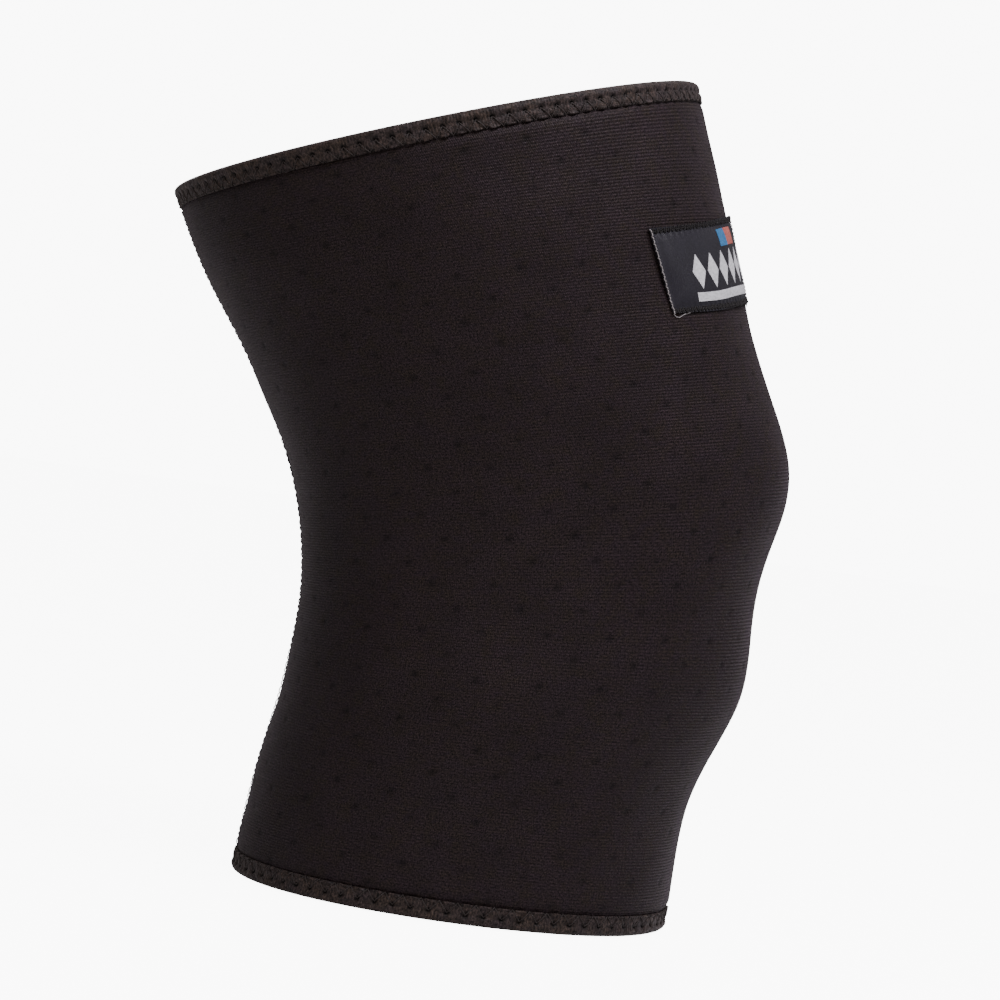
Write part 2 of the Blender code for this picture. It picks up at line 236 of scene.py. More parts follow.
def steady_noise(u, v, seed, scale):
    """Smooth random waves over the sheet, from -1 to 1 or a little more, at about a given size."""
    draw = np.random.default_rng(seed)
    total = np.zeros(np.broadcast(u, v).shape)
    for _ in range(WAVES):
        way = draw.uniform(0, 2 * math.pi)
        size = scale * draw.uniform(*WAVE_SIZES)
        phase = draw.uniform(*WAVE_PHASES)
        total += np.sin(2 * math.pi * (u * math.cos(way) + v * math.sin(way)) / size + phase)
    return total / math.sqrt(WAVES / 2) / WAVE_CALM


# ---- making meshes


SHARP_EDGE = math.radians(50.0)


def add_object(name, data):
    thing = bpy.data.objects.new(name, data)
    bpy.context.scene.collection.objects.link(thing)
    return thing


def make_piece(name, verts, face_groups, material, attributes):
    """A mesh object from points and arrays of faces, each array with its own number of corners."""
    mesh = bpy.data.meshes.new(name)
    verts = np.asarray(verts, np.float32)
    groups = [np.asarray(g, np.int32) for g in face_groups if len(g)]
    loops = np.concatenate([g.ravel() for g in groups])
    sizes = np.concatenate([np.full(len(g), g.shape[1], np.int32) for g in groups])
    starts = np.concatenate(([0], np.cumsum(sizes)[:-1])).astype(np.int32)
    mesh.vertices.add(len(verts))
    mesh.vertices.foreach_set("co", verts.ravel())
    mesh.loops.add(len(loops))
    mesh.loops.foreach_set("vertex_index", loops)
    mesh.polygons.add(len(sizes))
    mesh.polygons.foreach_set("loop_start", starts)
    mesh.update(calc_edges=True)
    mesh.validate()
    for key, values in attributes.items():
        values = np.asarray(values, np.float32)
        kind = "FLOAT_VECTOR" if values.ndim == 2 else "FLOAT"
        layer = mesh.attributes.new(key, kind, "POINT")
        layer.data.foreach_set("vector" if values.ndim == 2 else "value", values.ravel())
    mesh.materials.append(material)
    mesh.shade_smooth()
    mesh.set_sharp_from_angle(angle=SHARP_EDGE)
    return add_object(name, mesh)


def grid_quads(rows, columns, first=0, flip=False, close_columns=False, close_rows=False):
    r = np.arange(rows if close_rows else rows - 1)
    c = np.arange(columns if close_columns else columns - 1)
    r, c = np.meshgrid(r, c, indexing="ij")
    r1, c1 = (r + 1) % rows, (c + 1) % columns
    quads = np.stack((r * columns + c, r * columns + c1, r1 * columns + c1, r1 * columns + c), axis=-1)
    quads = quads.reshape(-1, 4) + first
    return quads[:, ::-1] if flip else quads


def rim(fine, coarse, step, turn):
    """Faces between a fine edge and a coarse edge, with step fine points to each coarse one."""
    spans = range(len(coarse) - 1)
    faces = np.array([[*fine[k * step:(k + 1) * step + 1][::-1], coarse[k], coarse[k + 1]] for k in spans])
    return faces[:, ::-1] if turn else faces


def shell(outer, inner, row_step=1, column_step=1):
    """Faces of a closed sheet from a fine outer grid and a coarser inner grid.

    The outer grid's rows and columns are row_step and column_step times as close as the inner's.
    """
    rows, columns = outer.shape[:2]
    small = inner.shape[:2]
    base = rows * columns
    fine = np.arange(base).reshape(rows, columns)
    coarse = base + np.arange(small[0] * small[1]).reshape(small)
    groups = [grid_quads(rows, columns), grid_quads(*small, base, flip=True)]
    groups += [rim(fine[end], coarse[end], column_step, end != 0) for end in (0, -1)]
    groups += [rim(fine[:, end], coarse[:, end], row_step, end == 0) for end in (0, -1)]
    return np.concatenate((outer.reshape(-1, 3), inner.reshape(-1, 3))), groups


def flat_marks(u, v):
    """Flat coordinates for each point, as rows for a mesh attribute."""
    return np.stack((u, v, np.zeros(np.shape(u))), axis=-1).reshape(-1, 3)


THREAD_SIDES = 8


def tube(points, ups, radius, closed):
    """Points and faces of a round thread along a path, with the distance along and the turn round."""
    ahead = np.roll(points, -1, axis=0) - np.roll(points, 1, axis=0)
    if not closed:
        ahead[0] = points[1] - points[0]
        ahead[-1] = points[-1] - points[-2]
    ahead = unit(ahead)
    side = unit(np.cross(ahead, ups))
    up = np.cross(side, ahead)
    turns = np.arange(THREAD_SIDES) * 2 * math.pi / THREAD_SIDES
    rings = points[:, None] + radius * (
        np.cos(turns)[None, :, None] * side[:, None] + np.sin(turns)[None, :, None] * up[:, None]
    )
    count = len(points)
    run = np.concatenate(([0.0], np.cumsum(np.linalg.norm(np.diff(points, axis=0), axis=1))))
    marks = flat_marks(np.repeat(run, THREAD_SIDES), np.tile(turns * radius, count))
    groups = [grid_quads(count, THREAD_SIDES, close_columns=True, close_rows=closed, flip=True)]
    if not closed:
        groups.append(np.arange(THREAD_SIDES)[None, :])
        groups.append(((count - 1) * THREAD_SIDES + np.arange(THREAD_SIDES))[None, ::-1])
    return rings.reshape(-1, 3), groups, marks


def zigzag(phase):
    """A stitch's way from 0 to 1 and back, for a phase that grows by 1 with each stitch."""
    return 1 - np.abs((phase % 1.0) * 2 - 1)


def leg_humps(count, steps, roundness):
    """How high a thread stands along each leg of a zigzag, from 0 in its needle holes to 1."""
    return np.sin((np.arange(count) % steps) / steps * math.pi) ** roundness


def make_joined(name, parts, material):
    """One piece from several meshes of points, faces and marks."""
    verts, groups, marks, first = [], [], [], 0
    for points, faces, mark in parts:
        verts.append(points)
        marks.append(mark)
        groups += [np.asarray(g) + first for g in faces]
        first += len(points)
    return make_piece(name, np.concatenate(verts), groups, material, {"sheet": np.concatenate(marks)})


# ---- materials


class Nodes:
    """A material's node tree, with short ways to add nodes to it."""

    def __init__(self, name, colour, roughness, **values):
        self.material = bpy.data.materials.new(name)
        self.material.use_nodes = True
        self.tree = self.material.node_tree
        self.shader = self.tree.nodes["Principled BSDF"]
        self.shader.inputs["Base Color"].default_value = (*colour, 1.0)
        self.shader.inputs["Roughness"].default_value = roughness
        for key, value in values.items():
            socket = self.shader.inputs[key.replace("_", " ")]
            socket.default_value = value
        self.material.diffuse_color = (*colour, 1.0)

    def link(self, source, target):
        self.tree.links.new(source, target)

    def feed(self, socket, value):
        if isinstance(value, bpy.types.NodeSocket):
            self.link(value, socket)
        else:
            socket.default_value = value

    def attribute(self, name):
        node = self.tree.nodes.new("ShaderNodeAttribute")
        node.attribute_name = name
        return node

    def maths(self, operation, a, b=0.0):
        node = self.tree.nodes.new("ShaderNodeMath")
        node.operation = operation
        self.feed(node.inputs[0], a)
        self.feed(node.inputs[1], b)
        return node.outputs[0]

    def times(self, first, *others):
        """Several values multiplied together."""
        for other in others:
            first = self.maths("MULTIPLY", first, other)
        return first

    def plus(self, a, b):
        return self.maths("ADD", a, b)

    def ramp(self, value, low, high, to_low=0.0, to_high=1.0):
        node = self.tree.nodes.new("ShaderNodeMapRange")
        self.feed(node.inputs["Value"], value)
        for key, number in (("From Min", low), ("From Max", high), ("To Min", to_low), ("To Max", to_high)):
            node.inputs[key].default_value = number
        return node.outputs["Result"]

    def noise(self, vector, scale, detail=2.0, roughness=0.5, stretch=(1.0, 1.0, 1.0)):
        mapping = self.tree.nodes.new("ShaderNodeMapping")
        mapping.inputs["Scale"].default_value = tuple(scale * s for s in stretch)
        self.link(vector, mapping.inputs["Vector"])
        node = self.tree.nodes.new("ShaderNodeTexNoise")
        node.inputs["Scale"].default_value = 1.0
        node.inputs["Detail"].default_value = detail
        node.inputs["Roughness"].default_value = roughness
        self.link(mapping.outputs["Vector"], node.inputs["Vector"])
        return node.outputs["Fac"]

    def sheet(self):
        """The flat coordinates, as a vector and one by one."""
        vector = self.attribute("sheet").outputs["Vector"]
        node = self.tree.nodes.new("ShaderNodeSeparateXYZ")
        self.link(vector, node.inputs[0])
        return vector, node.outputs[0], node.outputs[1]

    def wave(self, value, pitch, phase=0.0):
        """A sine from 0 to 1 along a length, once in each pitch."""
        turns = self.plus(self.times(value, 2 * math.pi / pitch), phase)
        return self.plus(self.times(self.maths("SINE", turns), 0.5), 0.5)

    def tint(self, factor, dark, light):
        node = self.tree.nodes.new("ShaderNodeMix")
        node.data_type = "RGBA"
        self.feed(node.inputs["Factor"], factor)
        for key, value in (("A", dark), ("B", light)):
            self.feed(node.inputs[key], value if isinstance(value, bpy.types.NodeSocket) else (*value, 1.0))
        return node.outputs["Result"]

    def darken(self, colour, factor):
        """Multiply a colour by a number."""
        node = self.tree.nodes.new("ShaderNodeVectorMath")
        node.operation = "SCALE"
        self.feed(node.inputs[0], colour)
        self.feed(node.inputs["Scale"], factor)
        return node.outputs[0]

    def finish(self, colour, roughness, height, distance, strength):
        """Link the colour, the roughness and a bump of that height, and give the material."""
        self.link(colour, self.shader.inputs["Base Color"])
        self.link(roughness, self.shader.inputs["Roughness"])
        node = self.tree.nodes.new("ShaderNodeBump")
        node.inputs["Distance"].default_value = distance
        node.inputs["Strength"].default_value = strength
        self.link(height, node.inputs["Height"])
        self.link(node.outputs["Normal"], self.shader.inputs["Normal"])
        return self.material


# Pitches and reliefs of the knits and weaves. Each ramp below gives a pattern's share of the colour or
# the roughness, and each noise has its number of lumps per metre.
WALE_PITCH = 0.62 * MM
TAPE_RIB_PITCH = 0.95 * MM
TAPE_PICK_PITCH = 0.42 * MM
THREAD_PLY_PITCH = 0.55 * MM
THREAD_TURN = 1.5 * MM
SATIN_PICK_PITCH = 0.30 * MM
SATIN_FLOAT_PITCH = 0.52 * MM
JERSEY_RELIEF = 0.20 * MM
TAPE_RELIEF = 0.16 * MM
THREAD_RELIEF = 0.08 * MM
SATIN_RELIEF = 0.05 * MM
FOAM_RELIEF = 0.15 * MM

# Where the front ends, and how strongly the rows show in it and beside it. Beside it are the knit's own
# rows;
# at the front they are painted stronger and lighter, as painted light and shade of rows lit at a graze.
PAINTED_FRONT_ROWS = (40 * MM, 90 * MM, 0.80, 0.34)


def jersey_material(name, colour, other, cool, row_pitch, sheen):
    """Nylon jersey: courses across, wales up, soft speckle, and the perforations that show through as
    dimples, with painted shade in them.
    """
    m = Nodes(
        name, colour, 0.70,
        Specular_IOR_Level=0.18, Specular_Tint=(1.0, 0.88, 0.92, 1.0),
        Sheen_Weight=sheen, Sheen_Roughness=0.24, Sheen_Tint=(0.86, 0.70, 0.82, 1.0),
    )
    sheet, u, v = m.sheet()
    hole_and_shade = m.attribute("hole_and_shade").outputs["Fac"]
    wander = m.noise(sheet, 260.0, 1.0)
    rows = m.wave(v, row_pitch, m.times(wander, 0.8))
    # each wale leans to and fro from one row to the next
    lean = m.times(v, 2 * math.pi / row_pitch, 0.5)
    wales = m.wave(u, WALE_PITCH, lean)
    # Stronger, lighter rows at the front: painted light and shade of rows lit at a graze.
    stretch = m.ramp(m.maths("ABSOLUTE", u), *PAINTED_FRONT_ROWS)
    knit = m.plus(m.times(rows, stretch), m.times(wales, 0.24))
    speckle = m.noise(sheet, 1900.0, 2.0, 0.65)
    mottle = m.noise(sheet, 60.0, 3.0, 0.55)
    patches = m.noise(sheet, 230.0, 3.0, 0.6)
    cool_flecks = m.noise(sheet, 310.0, 2.0, 0.6, (1.0, 1.3, 1.0))
    cool_clouds = m.noise(sheet, 95.0, 3.0, 0.6)
    mix = m.tint(m.ramp(patches, 0.36, 0.64), colour, other)
    mix = m.tint(m.ramp(cool_flecks, 0.52, 0.70), mix, cool)
    mix = m.tint(m.ramp(cool_clouds, 0.46, 0.64, 0.0, 0.6), mix, m.darken(cool, 1.1))
    # Darker in the dimples over the perforations: painted shade there, along with the knit and speckle.
    bright = m.times(
        m.ramp(knit, 0.0, 1.0, 0.60, 1.42), m.ramp(speckle, 0.36, 0.64, 0.18, 2.05),
        m.ramp(mottle, 0.3, 0.7, 0.86, 1.14), m.ramp(hole_and_shade, 0.0, 1.0, 1.0, 0.18),
    )
    rough = m.ramp(speckle, 0.3, 0.7, 0.78, 0.46)
    return m.finish(m.darken(mix, bright), rough, m.plus(knit, m.times(speckle, 0.7)), JERSEY_RELIEF, 0.9)


def tape_material():
    """Ribbed woven tape: ribs across the tape, loose fibres, and painted shade in the needle holes."""
    m = Nodes(
        "binding_tape", (0.018, 0.0125, 0.0118), 0.62, Specular_IOR_Level=0.20,
        Sheen_Weight=0.12, Sheen_Roughness=0.36, Sheen_Tint=(0.92, 0.80, 0.82, 1.0),
    )
    sheet, u, v = m.sheet()
    hole_and_shade = m.attribute("hole_and_shade").outputs["Fac"]
    ribs = m.wave(u, TAPE_RIB_PITCH, m.times(m.noise(sheet, 300.0, 1.0), 2.0))
    picks = m.wave(v, TAPE_PICK_PITCH)
    fibre = m.noise(sheet, 1700.0, 3.0, 0.7, (1.0, 0.65, 1.0))
    lump = m.noise(sheet, 420.0, 2.0, 0.6)
    # Near black in the needle holes: painted shade there.
    bright = m.times(
        m.ramp(ribs, 0.0, 1.0, 0.84, 1.16), m.ramp(fibre, 0.36, 0.64, 0.12, 2.15),
        m.ramp(lump, 0.36, 0.64, 0.72, 1.34), m.ramp(hole_and_shade, 0.0, 0.8, 1.0, 0.02),
    )
    patches = m.ramp(m.noise(sheet, 160.0, 2.0), 0.36, 0.64)
    tone = m.tint(patches, (0.0275, 0.0188, 0.0150), (0.0225, 0.0158, 0.0160))
    height = m.plus(m.times(ribs, 0.4), m.times(picks, 0.25))
    height = m.plus(height, m.times(m.plus(fibre, lump), 0.7))
    return m.finish(m.darken(tone, bright), m.ramp(fibre, 0.3, 0.7, 0.72, 0.50), height, TAPE_RELIEF, 0.8)


def thread_material(name, colour, roughness):
    """Twisted polyester thread: plies that wind round it."""
    m = Nodes(name, colour, roughness, Specular_IOR_Level=0.3, Sheen_Weight=0.08, Sheen_Roughness=0.4)
    sheet, along, turn = m.sheet()
    slant = m.times(turn, 2 * math.pi / THREAD_TURN)
    plies = m.wave(along, THREAD_PLY_PITCH, slant)
    fibre = m.noise(sheet, 2500.0, 2.0, 0.6)
    bright = m.times(m.ramp(plies, 0.0, 1.0, 0.62, 1.2), m.ramp(fibre, 0.3, 0.7, 0.8, 1.2))
    tone = m.tint(fibre, colour, tuple(c * 1.1 for c in colour))
    rough = m.ramp(fibre, 0.3, 0.7, roughness + 0.12, roughness - 0.08)
    return m.finish(m.darken(tone, bright), rough, m.plus(plies, m.times(fibre, 0.3)), THREAD_RELIEF, 0.8)


def satin_material(name, colour, light, roughness):
    """Woven satin: floats along the label, with fine picks across it."""
    m = Nodes(
        name, colour, roughness,
        Specular_IOR_Level=0.35, Sheen_Weight=0.05, Sheen_Roughness=0.35, Anisotropic=0.4,
    )
    sheet, u, v = m.sheet()
    picks = m.wave(v, SATIN_PICK_PITCH)
    # the floats of each pick start further along than the last pick's
    pick = m.maths("FLOOR", m.times(v, 1 / SATIN_PICK_PITCH))
    floats = m.wave(u, SATIN_FLOAT_PITCH, m.times(pick, 2.5))
    fibre = m.noise(sheet, 1400.0, 2.0, 0.6, (0.4, 1.0, 1.0))
    cloth = m.plus(m.times(picks, 0.5), m.times(floats, 0.5))
    tone = m.tint(m.ramp(m.noise(sheet, 160.0, 2.0), 0.3, 0.7), colour, light)
    bright = m.times(m.ramp(cloth, 0.0, 1.0, 0.80, 1.15), m.ramp(fibre, 0.3, 0.7, 0.82, 1.18))
    rough = m.ramp(fibre, 0.3, 0.7, roughness + 0.1, roughness - 0.08)
    return m.finish(m.darken(tone, bright), rough, m.plus(cloth, m.times(fibre, 0.5)), SATIN_RELIEF, 0.7)


def foam_material():
    """The neoprene's cut foam, closed cells seen at its edges."""
    m = Nodes("neoprene_foam", (0.012, 0.012, 0.013), 0.8, Specular_IOR_Level=0.3)
    cells = m.noise(m.attribute("sheet").outputs["Vector"], 2200.0, 2.0, 0.6)
    tone = m.tint(cells, (0.010, 0.010, 0.011), (0.016, 0.016, 0.017))
    colour = m.darken(tone, m.ramp(cells, 0.3, 0.7, 0.7, 1.3))
    return m.finish(colour, m.ramp(cells, 0.3, 0.7, 0.9, 0.7), cells, FOAM_RELIEF, 0.7)


FACE_JERSEY = jersey_material(
    "face_jersey", (0.0152, 0.0094, 0.0112), (0.0146, 0.0102, 0.0078),
    (0.0136, 0.0088, 0.0112), 0.86 * MM, 0.12,
)
LINING_JERSEY = jersey_material(
    "lining_jersey", (0.0170, 0.0125, 0.0140), (0.0150, 0.0120, 0.0125),
    (0.0130, 0.0120, 0.0140), 1.0 * MM, 0.12,
)
FOAM = foam_material()
TAPE = tape_material()
SEAM_TAPE = jersey_material(
    "seam_tape", (0.0130, 0.0115, 0.0125), (0.0150, 0.0130, 0.0140),
    (0.0120, 0.0115, 0.0130), 0.8 * MM, 0.15,
)
BLACK_THREAD = thread_material("black_thread", (0.0310, 0.0225, 0.0205), 0.6)
LABEL_THREAD = thread_material("label_black_thread", (0.0070, 0.0050, 0.0052), 0.7)
PALE_THREAD = thread_material("pale_thread", (0.30, 0.28, 0.28), 0.6)
SATIN = satin_material("label_satin", (0.0118, 0.0100, 0.0152), (0.0150, 0.0130, 0.0195), 0.50)
WHITE_WEAVE = satin_material("white_weave", (0.62, 0.62, 0.64), (0.72, 0.72, 0.74), 0.6)
BLUE_WEAVE = satin_material("blue_weave", (0.030, 0.150, 0.330), (0.040, 0.180, 0.380), 0.6)
CORAL_WEAVE = satin_material("coral_weave", (0.420, 0.100, 0.080), (0.480, 0.130, 0.100), 0.6)

# ---- the sheet: face, foam and lining

DOT_PITCH_ROUND = 18.2 * MM
DOT_PITCH_UP = 13.95 * MM
DOT_START = (-98.5 * MM, 140.9 * MM)
DOT_WIDTH = 0.80 * MM
DOT_HEIGHT = 0.64 * MM
DOT_DEPTH = 0.22 * MM
DOT_WANDER = (1.2 * MM, 1.0 * MM)
DOT_STRENGTH = (0.50, 0.60)

# The back seam's half gap and the radius there, and how far and how deep its edges roll in
SEAM_GAP = 0.15 * MM
SEAM_RADIUS = 70.0 * MM
SEAM_ROLL = 0.9 * MM
SEAM_ROLL_DEPTH = 0.45 * MM

# How the wall swells back to its open thickness beyond a binding
SQUEEZE_START = 0.4 * MM
SQUEEZE_RUN = 3.2 * MM
SQUEEZE_EASE = 2.2

# Slack waves as seed, size and height, and the pucker beside a binding
SLACK_WAVES = ((5, 46 * MM, 0.22 * MM), (9, 17 * MM, 0.04 * MM))
PUCKER_HEIGHT = 0.10 * MM
PUCKER_PITCH = 4.8 * MM


def scrambled(i, j, shift, keys):
    """A number from 0 to 1 for each dot of the grid, as if drawn at random but always the same."""
    mixed = np.sin(i * keys[0] + j * keys[1] + shift * keys[2]) * keys[3]
    return mixed - np.floor(mixed)


def perforations(u, v):
    """How far into a perforation each point of the sheet lies, from 0 to 1."""
    total = np.zeros(u.shape)
    u, v = u - DOT_START[0], v - DOT_START[1]
    for shift in (0.0, 0.5):
        i = np.round(u / DOT_PITCH_ROUND - shift)
        j = np.round(v / DOT_PITCH_UP - shift)
        draw = scrambled(i, j, shift, (12.9898, 78.233, 37.0, 43758.5453))
        again = scrambled(i, j, shift, (39.346, 11.135, 83.0, 24634.6345))
        du = u - (i + shift) * DOT_PITCH_ROUND - (draw - 0.5) * DOT_WANDER[0]
        dv = v - (j + shift) * DOT_PITCH_UP - (again - 0.5) * DOT_WANDER[1]
        strength = DOT_STRENGTH[0] + DOT_STRENGTH[1] * draw
        total += strength * np.exp(-((du / DOT_WIDTH) ** 2 + (dv / DOT_HEIGHT) ** 2) / 2)
    return total


def squeezed(angle, course):
    """How far the wall is squeezed, from 0 in the open to 1 under a binding."""
    near = np.minimum(above_calf_hem(angle, course), below_thigh_hem(angle, course))
    t = np.clip((near - BINDING_HEIGHT + SQUEEZE_START) / SQUEEZE_RUN, 0.0, 1.0)
    return (1 - t) ** SQUEEZE_EASE


def sheet_grid(columns, rows, open_depth, hem_depth, relief):
    """A layer's side as a grid of points, its flat coordinates, and its depth into perforations, which also
    sets the painted shade in them.

    The relief is 1 outside the wall, lower and turned the other way inside it, and 0 where hidden.
    """
    edge = math.pi - SEAM_GAP / SEAM_RADIUS
    angles = np.linspace(-edge, edge, columns)
    low = course_from_hem(angles, SHEET_EDGE, "calf")
    high = course_from_hem(angles, SHEET_EDGE, "thigh")
    shares = np.interp(np.linspace(0, SIDE_RUN[-1], rows), SIDE_RUN, TABLE_COURSES) / LAST_COURSE
    course = low[None, :] + (high - low)[None, :] * shares[:, None]
    angle = np.broadcast_to(angles[None, :], course.shape)
    u = around(angle, course)
    v = height_up_sheet(angle, course)
    squeeze = squeezed(angle, course)
    depth = open_depth + (hem_depth - open_depth) * squeeze
    hole_and_shade = np.zeros(course.shape)
    if relief:
        hole_and_shade = perforations(u, v)
        to_seam = from_table(ROUND_RUN, np.full(course.shape, math.pi), course) - np.abs(u)
        roll = np.clip(1 - to_seam / SEAM_ROLL, 0.0, 1.0)
        rolled = relief * SEAM_ROLL_DEPTH * (1 - np.sqrt(1 - roll**2 * 0.98))
        waves = sum(steady_noise(u, v, seed, size) * height for seed, size, height in SLACK_WAVES)
        at_binding = np.exp(-((1 - squeeze) * SQUEEZE_EASE) ** 2) * squeeze
        pucker = PUCKER_HEIGHT * np.sin(2 * math.pi * u / PUCKER_PITCH) * at_binding
        dimple = hole_and_shade * DOT_DEPTH * (1 - squeeze)
        depth = depth + relief * dimple + rolled - waves * (1 - squeeze) * abs(relief)
        depth = depth + pucker * relief
    return wall_point(angle, course, depth), flat_marks(u, v), hole_and_shade * (1 - squeeze)


def add_layer(name, grid, fine_side, coarse_side, relief, material):
    """A layer of the sheet. Its shown side is fine, and its hidden side is coarse."""
    rows, columns, row_step, column_step = grid
    points, marks, hole_and_shade = sheet_grid(columns, rows, *fine_side, relief)
    other, other_marks, other_hole_and_shade = sheet_grid(
        (columns - 1) // column_step + 1, (rows - 1) // row_step + 1, *coarse_side, 0.0
    )
    verts, groups = shell(points, other, row_step, column_step)
    if relief < 0:
        groups = [g[:, ::-1] for g in groups]
    attributes = {
        "sheet": np.concatenate((marks, other_marks)),
        "hole_and_shade": np.concatenate((hole_and_shade.ravel(), other_hole_and_shade.ravel())),
    }
    return make_piece(name, verts, groups, material, attributes)


# Rows and columns of each layer's shown side, and how many of them go to one of the hidden side
FINE = ((337, 577, 6, 6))
PLAIN = (73, 121, 1, 1)
INSIDE = (217, 361, 3, 3)

face = add_layer("sleeve_face", FINE, *FACE, 1.0, FACE_JERSEY)
core = add_layer("sleeve_core", PLAIN, *CORE, 0.0, FOAM)
lining = add_layer("sleeve_lining", INSIDE, *LINING[::-1], -0.4, LINING_JERSEY)

# ---- the bindings and their stitching

STITCHES = {"calf": 76, "thigh": 102}
STITCH_LOW = 3.1 * MM
STITCH_HIGH = 6.25 * MM
THREAD = 0.16 * MM

# A thread's leg: its steps, how deep its ends sink, its hump, its roundness and its random slack
LEG_STEPS = 9
LEG_SINK = 0.30 * MM
LEG_HUMP = 0.47 * MM
LEG_ROUNDNESS = 0.75
LEG_SLACK = (-0.06, 0.10)
SLACK_SEEDS = {"calf": 41, "thigh": 43}

# The stitches' marks in the tape: widths and depths
LOW_HOLE = (0.70 * MM, 0.66 * MM, 0.72 * MM)
HIGH_HOLE = (0.95 * MM, 0.6 * MM, 0.62 * MM)
LEG_DENT = (0.5 * MM, 0.04 * MM)

# The tape's folded section
FOLD_HEIGHT = 1.55 * MM
FOLD_FULLNESS = 0.8
EDGE_BEVEL = 0.15 * MM
EDGE_INSET = 0.25 * MM
LEG_LENGTH = BINDING_HEIGHT - FOLD_HEIGHT - EDGE_BEVEL
CHANNEL_TOP = BINDING_HEIGHT - 0.5 * MM
LIP_TOP = BINDING_HEIGHT - 0.1 * MM

# The tape's relief: puffs between two distances from the hem, ribs, lumps, and the loose edge's
# lift, fray and notches at the holes
PUFFS = ((0.6 * MM, STITCH_LOW, 0.22 * MM), (STITCH_LOW, STITCH_HIGH, 0.12 * MM))
RIB_HEIGHT = 0.02 * MM
LUMP_HEIGHT = 0.10 * MM
EDGE_LIFT = 0.32 * MM
EDGE_FRAY = 0.16 * MM
EDGE_NOTCH = 0.60 * MM


def stitch_angle(hem, share):
    """The angle at a share of the way round the hem, by distance, from the back."""
    run = around(TABLE_ANGLES, np.full(len(TABLE_ANGLES), hem_course(hem)))
    run = run - run[0]
    return np.interp(np.asarray(share) % 1.0 * run[-1], run, TABLE_ANGLES)


def stitch_marks(u, distance, girth, count):
    """How near each point of a binding is to a needle hole and to a leg of the zigzag, from 0 to 1."""
    pitch = girth / count
    phase = (u / pitch) % 1.0
    low_gap = np.abs((phase + 0.5) % 1.0 - 0.5) * pitch
    high_gap = np.abs(phase - 0.5) * pitch
    low = np.exp(-((low_gap / LOW_HOLE[0]) ** 2 + ((distance - STITCH_LOW) / LOW_HOLE[1]) ** 2))
    high = np.exp(-((high_gap / HIGH_HOLE[0]) ** 2 + ((distance - STITCH_HIGH) / HIGH_HOLE[1]) ** 2))
    rise = (distance - STITCH_LOW) / (STITCH_HIGH - STITCH_LOW)
    leg = np.abs(low_gap - np.clip(rise, 0, 1) * pitch / 2)
    leg = np.exp(-((leg / LEG_DENT[0]) ** 2)) * (rise > -0.05) * (rise < 1.05)
    return low, high, leg


def binding_section():
    """The folded tape's section as rows of depth, distance from the hem, and side.

    The side is 1 on the outside of the sleeve, -1 on its inside, and 0 in the channel for the sheet.
    """
    t, h, d = TAPE_THICKNESS, BINDING_HEIGHT, BINDING_DEPTH
    rows = [(0.0, h - EDGE_BEVEL - s * LEG_LENGTH, 1.0) for s in np.linspace(0, 1, 19)]
    for a in np.linspace(0, math.pi, 17)[1:-1]:
        drop = FOLD_HEIGHT * math.sin(a) ** FOLD_FULLNESS
        rows.append((d / 2 - d / 2 * math.cos(a), FOLD_HEIGHT - drop, math.cos(a)))
    rows += [(d, FOLD_HEIGHT + s * LEG_LENGTH, -1.0) for s in np.linspace(0, 1, 11)]
    rows += [(d - EDGE_INSET, h, -0.5), (d - t, LIP_TOP, 0.0)]
    rows += [(d - t, CHANNEL_TOP * (1 - s) + t * s, 0.0) for s in np.linspace(0, 1, 4)]
    rows += [(t, t * (1 - s) + CHANNEL_TOP * s, 0.0) for s in np.linspace(0, 1, 4)]
    rows += [(t, LIP_TOP, 0.0), (EDGE_INSET, h, 0.5)]
    return np.array(rows)


def add_binding(hem):
    """A hem's folded tape, pulled in at its needle holes and puffed up between them."""
    course = hem_course(hem)
    columns = 1680
    share = np.arange(columns) / columns
    angle = stitch_angle(hem, share)
    girth = float(around(math.pi, course) - around(-math.pi, course))
    u = share * girth
    section = binding_section()
    depth, distance, side = (section[:, k][:, None] for k in range(3))
    u, distance = np.broadcast_arrays(u[None, :], distance)
    low, high, leg = stitch_marks(u, distance, girth, STITCHES[hem])
    puff = sum(
        height * np.sin(np.clip((distance - start) / (end - start), 0, 1) * math.pi)
        for start, end, height in PUFFS
    )
    ribs = RIB_HEIGHT * np.sin(2 * math.pi * u / TAPE_RIB_PITCH)
    lumps = steady_noise(u, distance * 2, 21, 14 * MM) + steady_noise(u, distance, 57, 2.6 * MM)
    sink = low * LOW_HOLE[2] + high * HIGH_HOLE[2] + leg * LEG_DENT[1]
    raised = (puff + ribs + lumps * LUMP_HEIGHT - sink) * side
    edge = np.where(distance > CHANNEL_TOP, 1.0, 0.0) * np.abs(side)
    fray = steady_noise(u, u * 0, 33, 2.4 * MM) * EDGE_FRAY * edge
    lift = EDGE_LIFT * edge * (1 - high)
    spread = distance + fray - edge * high * EDGE_NOTCH
    angle = np.broadcast_to(angle[None, :], u.shape)
    where = course_from_hem(angle, spread, hem)
    depth = depth - raised - lift * np.sign(side)
    points = wall_point(angle, where, depth)
    rows = len(section)
    quads = grid_quads(rows, columns, close_columns=True, close_rows=True, flip=hem == "calf")
    # Where the needle holes lie, which the tape's material paints with shade.
    hole_and_shade = np.clip(low * 1.15 + high, 0, 1) * (np.abs(side) > 0.45)
    attributes = {"sheet": flat_marks(u, distance * np.where(side < 0, -1.0, 1.0)), "hole_and_shade": hole_and_shade.ravel()}
    return make_piece(f"{hem}_binding_tape", points.reshape(-1, 3), [quads], TAPE, attributes)


